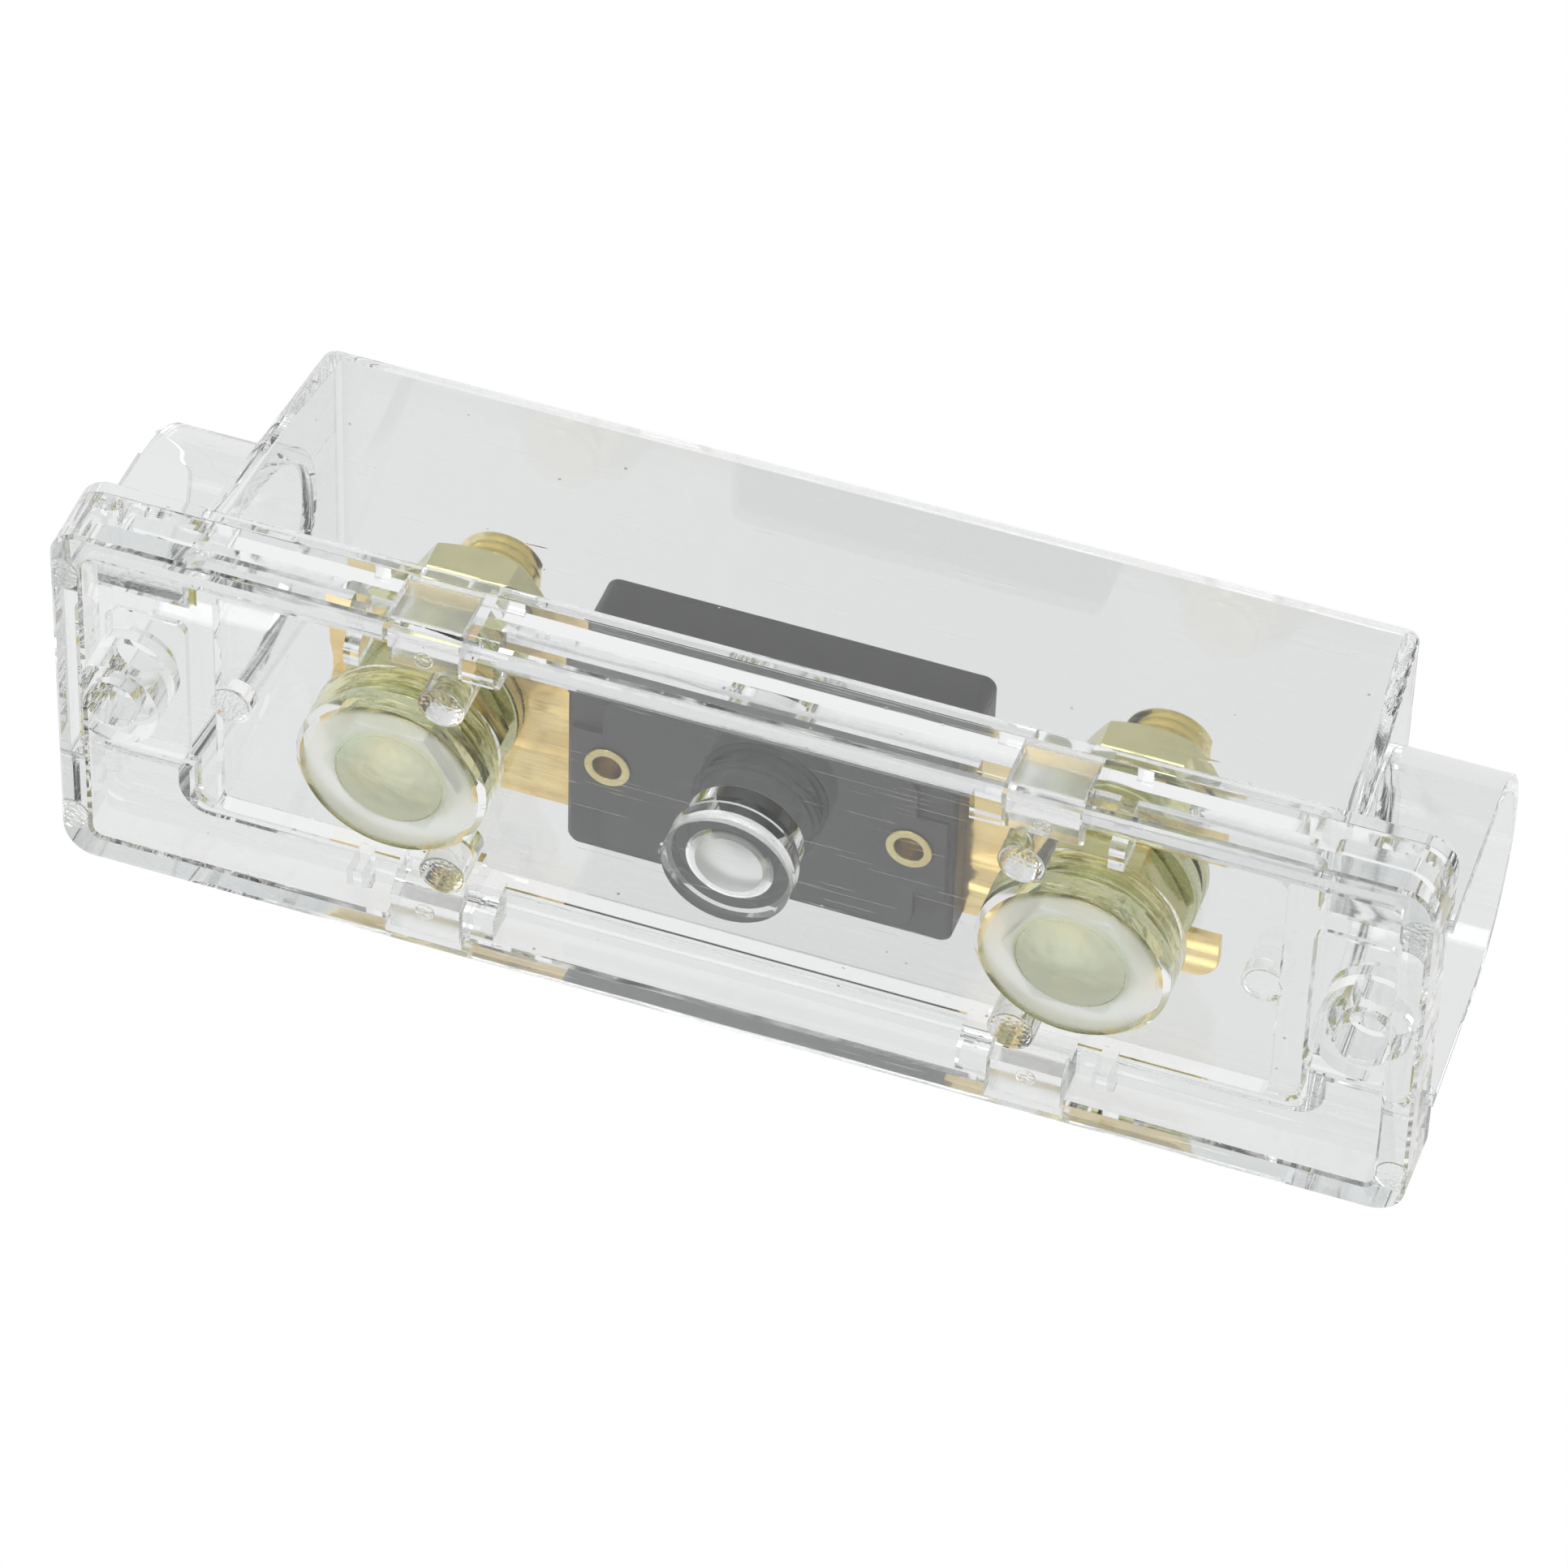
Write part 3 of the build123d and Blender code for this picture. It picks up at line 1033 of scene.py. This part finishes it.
    def bevel_top(self, core: bpy.types.Object) -> None:
        """Chamfers the free end of the core and applies its place.

        Args:
            core: cylinder inside the thread.
        """
        select_only(core)
        top = max(v.co.z for v in core.data.vertices)
        bpy.ops.object.mode_set(mode="EDIT")
        bpy.ops.mesh.select_mode(type="EDGE")
        bpy.ops.mesh.select_all(action="DESELECT")
        bpy.ops.object.mode_set(mode="OBJECT")
        for edge in core.data.edges:
            ends = [core.data.vertices[i].co.z for i in edge.vertices]
            edge.select = min(ends) > top - self.level_slack_mm * MM
        bpy.ops.object.mode_set(mode="EDIT")
        bpy.ops.mesh.bevel(offset=self.chamfer_mm * MM, segments=2, affect="EDGES")
        bpy.ops.object.mode_set(mode="OBJECT")
        bpy.ops.object.transform_apply(location=True, rotation=True, scale=True)

    def stud(self) -> bpy.types.Object:
        """The stud: its moulded-in head and shank, and its threaded end.

        Returns:
            One piece in place.
        """
        axis = self.centre()
        shank = copy_of(f"stud_{self.side}", EdgeBreak(0.0))
        select_only(shank)
        bpy.ops.object.mode_set(mode="EDIT")
        bpy.ops.mesh.select_all(action="SELECT")
        bpy.ops.mesh.bisect(
            plane_co=(axis.x, axis.y, (self.nut_top_mm - self.overlap_mm) * MM),
            plane_no=(0, 0, 1),
            use_fill=True,
            clear_outer=True,
        )
        bpy.ops.mesh.select_all(action="DESELECT")
        bpy.ops.object.mode_set(mode="OBJECT")
        for vertex in shank.data.vertices:
            vertex.select = vertex.co.z < (self.head_top_mm + self.head_slack_mm) * MM
        bpy.ops.object.mode_set(mode="EDIT")
        swell = 1 + self.head_swell_mm / self.head_half_mm
        middle = (self.head_top_mm + self.head_under_mm) / 2 * MM
        bpy.ops.transform.resize(
            value=(swell, swell, swell), center_override=(axis.x, axis.y, middle)
        )
        bpy.ops.object.mode_set(mode="OBJECT")
        thread = self.thread(
            self.nut_top_mm - self.pitch_mm, self.top_mm, self.root_mm, self.crest_mm
        )
        held = self.thread(
            self.head_top_mm, self.floor_top_mm, self.held_root_mm, self.held_crest_mm
        )
        select_only(thread)
        shank.select_set(True)
        held.select_set(True)
        bpy.ops.object.join()
        bpy.ops.mesh.customdata_custom_splitnormals_clear()
        bpy.ops.object.shade_smooth_by_angle(angle=math.radians(self.smooth_angle))
        thread.name = f"stud_{self.side}_shown"
        return thread

    def build(self, finishes: dict[str, bpy.types.Material]) -> None:
        """Builds the stack of this side.

        Args:
            finishes: materials by slot name.
        """
        name = f"stud_{self.side}"
        settle(self.stud(), Body.BASE, finishes["zinc_stud"], name)
        for kind, slot, edge, lift in (
            ("lower_nut", "zinc_nut", self.lower_nut_edge, self.nut_gap_mm),
            ("top_nut", "zinc_nut", self.top_nut_edge, 0.0),
            ("lower_washer", "zinc_washer", self.washer_edge, 0.0),
            ("upper_washer", "zinc_washer", self.washer_edge, 0.0),
            ("spring_washer", "zinc_spring", self.spring_edge, 0.0),
        ):
            name = f"{kind}_{self.side}"
            piece = copy_of(name, edge, lift)
            settle(piece, Body.BASE, finishes[slot], name)


@dataclass
class StripFuse:
    """The bolted fuse: strip, two-piece case and hollow rivets."""

    strip_edge_mm: float = 0.1
    case_edge_mm: float = 0.28
    rivet_edge_mm: float = 0.22

    def build(self, finishes: dict[str, bpy.types.Material]) -> None:
        """Builds the fuse.

        Args:
            finishes: materials by slot name.
        """
        for name, slot, edge in (
            ("fuse_strip", "gold_strip", EdgeBreak(self.strip_edge_mm)),
            ("fuse_case_body", "case_plastic", EdgeBreak(self.case_edge_mm)),
            ("fuse_case_lid", "case_lid_plastic", EdgeBreak(self.case_edge_mm)),
            ("fuse_rivet_left", "brass_rivet", EdgeBreak(self.rivet_edge_mm, 3)),
            ("fuse_rivet_right", "brass_rivet", EdgeBreak(self.rivet_edge_mm, 3)),
        ):
            piece = copy_of(name, edge)
            settle(piece, Body.BASE, finishes[slot], name)


# ---------------------------------------------------------------- studio


@dataclass(frozen=True)
class Softbox:
    """Square lamp: its name, its place and side in metres, and its power in watts."""

    name: str
    place: tuple[float, float, float]
    side: float
    watts: float


@dataclass
class Studio:
    """Pale floor, soft light and the camera of the photograph."""

    floor_half: float = 1.6
    focal_pixels: float = 10545.88
    optical_axis_shift: tuple[float, float] = (-37.9, -14.64)
    eye_mm: tuple[float, float, float] = (159.67, -518.017, -475.525)
    right: tuple[float, float, float] = (0.941797, -0.022321, 0.335441)
    down: tuple[float, float, float] = (0.253090, 0.703832, -0.663751)
    forward: tuple[float, float, float] = (-0.221279, 0.710016, 0.668516)
    sensor_mm: float = 36.0
    bright_side: tuple[float, float, float] = (-0.92, 0.1, -0.37)
    dim_level: float = 0.7
    bright_level: float = 1.02
    cap_level: float = 0.98
    bounces: int = 28
    floor_fade: tuple[float, float] = (0.35, 0.95)
    floor_cuts: int = 4
    paper_colour: str = "#F4F4F3"
    fibre_mm: float = 1.5
    fibre_depth_mm: float = 0.05
    clip: tuple[float, float] = (0.01, 20.0)
    aim: tuple[float, float, float] = (0.0, 0.0, 0.015)
    softboxes: tuple[Softbox, ...] = (
        Softbox("softbox_front", (-0.27, -1.18, -0.22), 0.42, 1.5),
        Softbox("softbox_under", (-0.24, 0.5, -1.06), 0.36, 0.4),
        Softbox("softbox_left", (-1.05, -0.35, 0.55), 0.5, 1.6),
        Softbox("softbox_top", (0.35, 0.45, 1.1), 0.6, 1.15),
    )

    def camera(self) -> None:
        """Places the camera where the photograph was taken from, below the base."""
        data = bpy.data.cameras.new("photo_camera")
        data.sensor_width = self.sensor_mm
        data.lens = self.focal_pixels / PHOTO_PIXELS * self.sensor_mm
        data.shift_x = -self.optical_axis_shift[0] / PHOTO_PIXELS
        data.shift_y = self.optical_axis_shift[1] / PHOTO_PIXELS
        data.clip_start, data.clip_end = self.clip
        eye = bpy.data.objects.new("photo_camera", data)
        bpy.context.scene.collection.objects.link(eye)
        turn = Matrix((self.right, [-v for v in self.down], [-v for v in self.forward]))
        eye.matrix_world = Matrix.Translation([v * MM for v in self.eye_mm]) @ (
            turn.transposed().to_4x4()
        )
        bpy.context.scene.camera = eye

    def floor_material(self) -> bpy.types.Material:
        """Pale paper that shows from above only and fades out at its rim.

        Returns:
            The floor's material.
        """
        material, tree = start_material("pale_paper")
        point = add_node(tree, "ShaderNodeTexCoord").outputs["Object"]
        ray = add_node(tree, "ShaderNodeLightPath")
        side = add_node(tree, "ShaderNodeNewGeometry")
        # Above half a layer: the ray has come through something clear.
        passed = add_node(
            tree,
            "ShaderNodeMath",
            values={1: 0.5},
            links={0: ray.outputs["Transparent Depth"]},
            operation="GREATER_THAN",
        )
        away = add_node(
            tree, "ShaderNodeVectorMath", links={0: point}, operation="LENGTH"
        )
        rim = add_node(
            tree,
            "ShaderNodeMapRange",
            values=span(*(share * self.floor_half for share in self.floor_fade)),
            links={0: away.outputs["Value"]},
            interpolation_type="SMOOTHSTEP",
        )
        open_parts = [
            side.outputs["Backfacing"],
            passed.outputs[0],
            ray.outputs["Is Shadow Ray"],
            rim.outputs[0],
        ]
        gone = open_parts[0]
        for part in open_parts[1:]:
            gone = add_node(
                tree, "ShaderNodeMath", links={0: gone, 1: part}, operation="MAXIMUM"
            ).outputs[0]
        fibre = add_node(
            tree,
            "ShaderNodeTexNoise",
            values={"Scale": 1 / (self.fibre_mm * MM), "Detail": 3.0},
            links={"Vector": point},
        )
        relief = add_node(
            tree,
            "ShaderNodeBump",
            values={"Strength": 0.05, "Distance": self.fibre_depth_mm * MM},
            links={"Height": fibre.outputs[0]},
        )
        paper = add_node(
            tree,
            "ShaderNodeBsdfPrincipled",
            values={"Base Color": linear(self.paper_colour), "Roughness": 0.85},
            links={"Normal": relief.outputs[0]},
        )
        nothing = add_node(tree, "ShaderNodeBsdfTransparent")
        surface = add_node(
            tree,
            "ShaderNodeMixShader",
            links={0: gone, 1: paper.outputs[0], 2: nothing.outputs[0]},
        )
        add_node(
            tree, "ShaderNodeOutputMaterial", links={"Surface": surface.outputs[0]}
        )
        return material

    def floor(self) -> None:
        """Lays the floor under the holder."""
        bpy.ops.object.select_all(action="DESELECT")
        bpy.ops.mesh.primitive_plane_add(size=2 * self.floor_half, location=(0, 0, 0))
        paper = bpy.context.active_object
        paper.name = "pale_floor"
        bpy.ops.object.transform_apply(location=True, rotation=True, scale=True)
        bpy.ops.object.mode_set(mode="EDIT")
        bpy.ops.mesh.subdivide(number_cuts=self.floor_cuts)
        bpy.ops.object.mode_set(mode="OBJECT")
        paper.data.materials.append(self.floor_material())

    def world(self) -> None:
        """White to the camera; other rays see a room that is brighter to one side."""
        world = bpy.data.worlds.new("studio_room")
        world.use_nodes = True
        bpy.context.scene.world = world
        tree = world.node_tree
        tree.nodes.clear()
        ray = add_node(tree, "ShaderNodeLightPath")
        direction = add_node(tree, "ShaderNodeTexCoord").outputs["Generated"]
        facing = add_node(
            tree,
            "ShaderNodeVectorMath",
            values={1: self.bright_side},
            links={0: direction},
            operation="DOT_PRODUCT",
        )
        lift = add_node(
            tree,
            "ShaderNodeMapRange",
            values=span(-1.0, 1.0, self.dim_level, self.bright_level),
            links={0: facing.outputs["Value"]},
        )
        capped = add_node(
            tree,
            "ShaderNodeMath",
            values={1: self.cap_level},
            links={0: lift.outputs[0]},
            operation="MINIMUM",
        )
        seen = add_node(
            tree,
            "ShaderNodeMix",
            values={3: 1.0},
            links={0: ray.outputs["Is Camera Ray"], 2: capped.outputs[0]},
            data_type="FLOAT",
        )
        light = add_node(
            tree,
            "ShaderNodeBackground",
            values={"Color": (1, 1, 1, 1)},
            links={"Strength": seen.outputs[0]},
        )
        add_node(tree, "ShaderNodeOutputWorld", links={"Surface": light.outputs[0]})

    def lamp(self, box: Softbox) -> None:
        """Hangs one softbox so that it faces the holder.

        Args:
            box: the lamp's name, place, size and power.
        """
        data = bpy.data.lights.new(box.name, "AREA")
        data.size = box.side
        data.energy = box.watts
        lamp = bpy.data.objects.new(box.name, data)
        lamp.location = box.place
        lamp.rotation_mode = "QUATERNION"
        look = Vector(self.aim) - Vector(box.place)
        lamp.rotation_quaternion = look.to_track_quat("-Z", "Y")
        bpy.context.scene.collection.objects.link(lamp)

    def build(self) -> None:
        """Sets up the whole studio."""
        self.camera()
        self.floor()
        self.world()
        for box in self.softboxes:
            self.lamp(box)
        cycles = bpy.context.scene.cycles
        cycles.max_bounces = cycles.transmission_bounces = self.bounces
        cycles.glossy_bounces = self.bounces
        bpy.context.scene.view_settings.view_transform = "Standard"


def finishes() -> dict[str, bpy.types.Material]:
    """All opaque finishes.

    Returns:
        Materials by slot name.
    """
    # Top of the painted light on the fuse case's underside face.
    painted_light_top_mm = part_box("fuse_case_body")[0].z / MM + PAINTED_LIGHT_BAND_MM
    looks = {
        "zinc_stud": PlatedMetal(
            name="yellow_zinc_stud",
            colour="#D4DCBA",
            blotch_and_highlight_tint="#ECDFA8",
            grain_mm=(0.5, 0.5, 2.0),
            roughness=0.18,
            grain_strength=0.6,
            wave_mm=(1.6, 1.6, 0.5),
            wave_depth_mm=0.1,
            # Painted highlight: from just above the head, the stud is painted in the
            # paler, more golden second tint.
            painted_highlight_from_mm=3.4,
        ),
        "zinc_nut": PlatedMetal(
            name="yellow_zinc_nut",
            colour="#CFC998",
            blotch_and_highlight_tint="#B4B684",
            grain_mm=(0.6, 0.6, 1.5),
            roughness=0.16,
            grain_strength=0.3,
            wave_mm=(4.0, 4.0, 1.6),
            wave_depth_mm=0.25,
        ),
        "zinc_washer": PlatedMetal(
            name="yellow_zinc_washer",
            colour="#C9CFAE",
            blotch_and_highlight_tint="#D2C894",
            grain_mm=(0.5, 0.5, 0.5),
            roughness=0.24,
        ),
        "zinc_spring": PlatedMetal(
            name="yellow_zinc_spring",
            colour="#C4BB88",
            blotch_and_highlight_tint="#AEB48C",
            grain_mm=(0.6, 0.6, 0.6),
            roughness=0.25,
        ),
        "gold_strip": PlatedMetal(
            name="gold_plated_copper",
            colour="#F5DC9C",
            blotch_and_highlight_tint="#DDB568",
            grain_mm=(9.0, 0.35, 2.0),
            roughness=0.16,
            grain_strength=0.3,
            wave_mm=(26.0, 3.2, 8.0),
            wave_depth_mm=0.9,
        ),
        "brass_rivet": PlatedMetal(
            name="rolled_brass",
            colour="#DCCF98",
            blotch_and_highlight_tint="#C2B072",
            grain_mm=(0.6, 0.6, 0.6),
            roughness=0.2,
        ),
        "case_plastic": MouldedPhenolic(
            name="moulded_phenolic_body",
            colour="#1C1C1C",
            scuff="#383838",
            # Painted light: the body's underside face is painted a paler grey.
            painted_face_light="#4A4A4A",
            painted_light_top_mm=painted_light_top_mm,
        ),
        "case_lid_plastic": MouldedPhenolic(
            name="moulded_phenolic_lid",
            colour="#1A1A1A",
            scuff="#343434",
            painted_face_light="#1A1A1A",
            painted_light_top_mm=painted_light_top_mm,
        ),
    }
    return {slot: look.build() for slot, look in looks.items()}


def main() -> None:
    """Builds the holder and its studio."""
    logging.basicConfig(level=logging.INFO, format="%(name)s: %(message)s")
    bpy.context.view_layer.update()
    opaque = finishes()
    ClearMouldings().build()
    for side in SIDES:
        StudStack(side).build(opaque)
    StripFuse().build(opaque)
    Studio().build()


if __name__ == "__main__":
    main()
